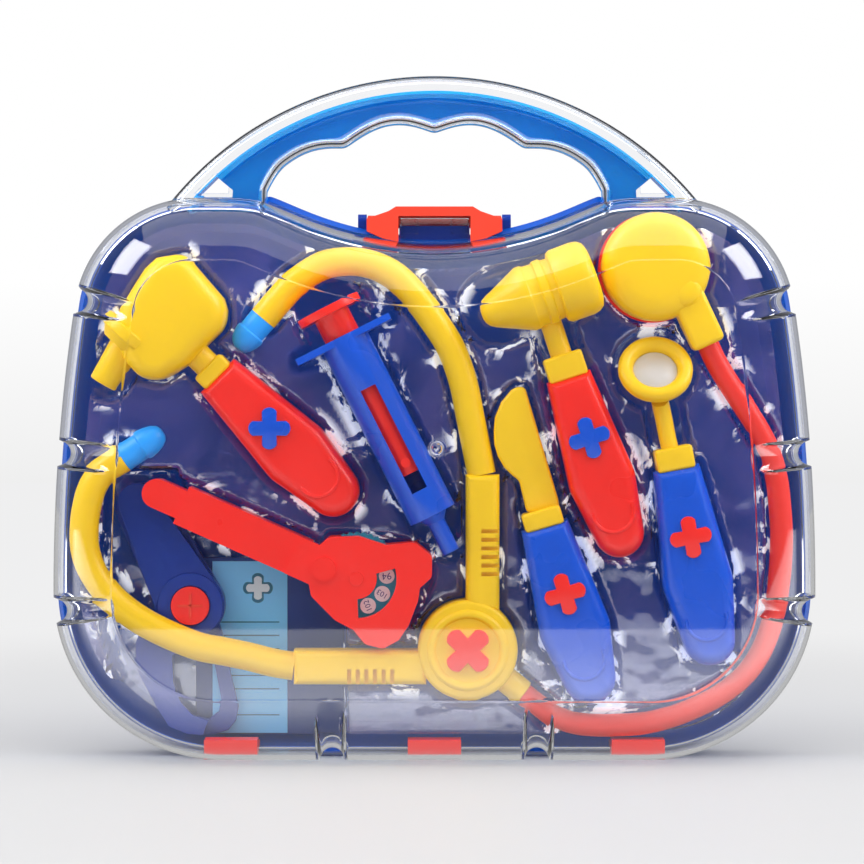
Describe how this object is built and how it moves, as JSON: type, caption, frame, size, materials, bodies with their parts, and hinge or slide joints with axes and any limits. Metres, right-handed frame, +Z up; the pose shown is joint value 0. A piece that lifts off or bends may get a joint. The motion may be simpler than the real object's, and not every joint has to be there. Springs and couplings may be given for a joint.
{
  "type": "toy doctor case",
  "caption": "Carry case with a blue back shell, a clear hinged lid and a scalloped grip, holding toy doctor instruments in a clear pocket tray.",
  "frame": {"origin": "under the middle of the closed case, on the surface it stands on", "axes": "+X to the right as seen from the clear lid, -Y out of the clear lid, +Z up"},
  "size_m": [0.28, 0.052, 0.2514],
  "materials": {
    "blue_plastic": "glossy",
    "clear_plastic": "clear glossy",
    "red_plastic": "satin",
    "yellow_plastic": "satin",
    "steel_pins": "satin",
    "ear_tip_plastic": "satin",
    "red_hose": "satin",
    "mirror_foil": "mirror",
    "dial_plastic": "satin",
    "board_card": "matte",
    "sticker_paper": "matte"
  },
  "bodies": {
    "case": {"back_shell": "blue_plastic", "latch_pin": "steel_pins", "shell_hinge_leaves": "red_plastic", "hinge_pins": "steel_pins", "tray": "clear_plastic", "otoscope_head": "yellow_plastic", "otoscope_speculum": "yellow_plastic", "otoscope_handle": "red_plastic", "otoscope_cross": "blue_plastic", "stethoscope_hub": "yellow_plastic", "stethoscope_hub_cross": "red_plastic", "stethoscope_upper_tube": "yellow_plastic", "stethoscope_lower_tube": "yellow_plastic", "upper_ear_tip": "ear_tip_plastic", "lower_ear_tip": "ear_tip_plastic", "stethoscope_hose": "red_hose", "chest_piece": "yellow_plastic", "chest_piece_ring": "red_plastic", "syringe_barrel": "blue_plastic", "hammer_head": "yellow_plastic", "hammer_handle": "red_plastic", "hammer_cross": "blue_plastic", "scalpel_blade": "yellow_plastic", "scalpel_handle": "blue_plastic", "scalpel_cross": "red_plastic", "mirror_frame": "yellow_plastic", "mirror_glass": "mirror_foil", "mirror_handle": "blue_plastic", "mirror_cross": "red_plastic", "thermometer_front": "red_plastic", "thermometer_back": "red_plastic", "thermometer_axle": "steel_pins", "forceps_back_lever": "blue_plastic", "forceps_pivot": "steel_pins", "forceps_cap": "red_plastic", "record_board": "board_card", "record_sticker": "sticker_paper"},
    "lid": {"front_lid": "clear_plastic", "lid_hinge_leaves": "red_plastic"},
    "latch": {"latch": "red_plastic"},
    "plunger": {"syringe_plunger": "red_plastic"},
    "dial": {"thermometer_dial": "dial_plastic"},
    "lever": {"forceps_front_lever": "blue_plastic"}
  },
  "joints": [
    {"name": "lid_hinge", "type": "hinge", "parent": "case", "child": "lid", "pos_m": [0, 0.006, 0.0018], "axis": [1, 0, 0], "range_deg": [0, 120]},
    {"name": "latch_hinge", "type": "hinge", "parent": "case", "child": "latch", "pos_m": [0, 0.013, 0.1986], "axis": [-1, 0, 0], "range_deg": [0, 100]},
    {"name": "plunger_slide", "type": "slide", "parent": "case", "child": "plunger", "axis": [0.4509, 0, -0.8926], "range_m": [-0.002, 0.009]},
    {"name": "dial_turn", "type": "hinge", "parent": "case", "child": "dial", "pos_m": [-0.0285, 0.004, 0.067], "axis": [0, 1, 0], "continuous": true},
    {"name": "forceps_pivot_turn", "type": "hinge", "parent": "case", "child": "lever", "pos_m": [-0.0906, 0.01, 0.056], "axis": [0, 1, 0], "range_deg": [0, 8]}
  ]
}
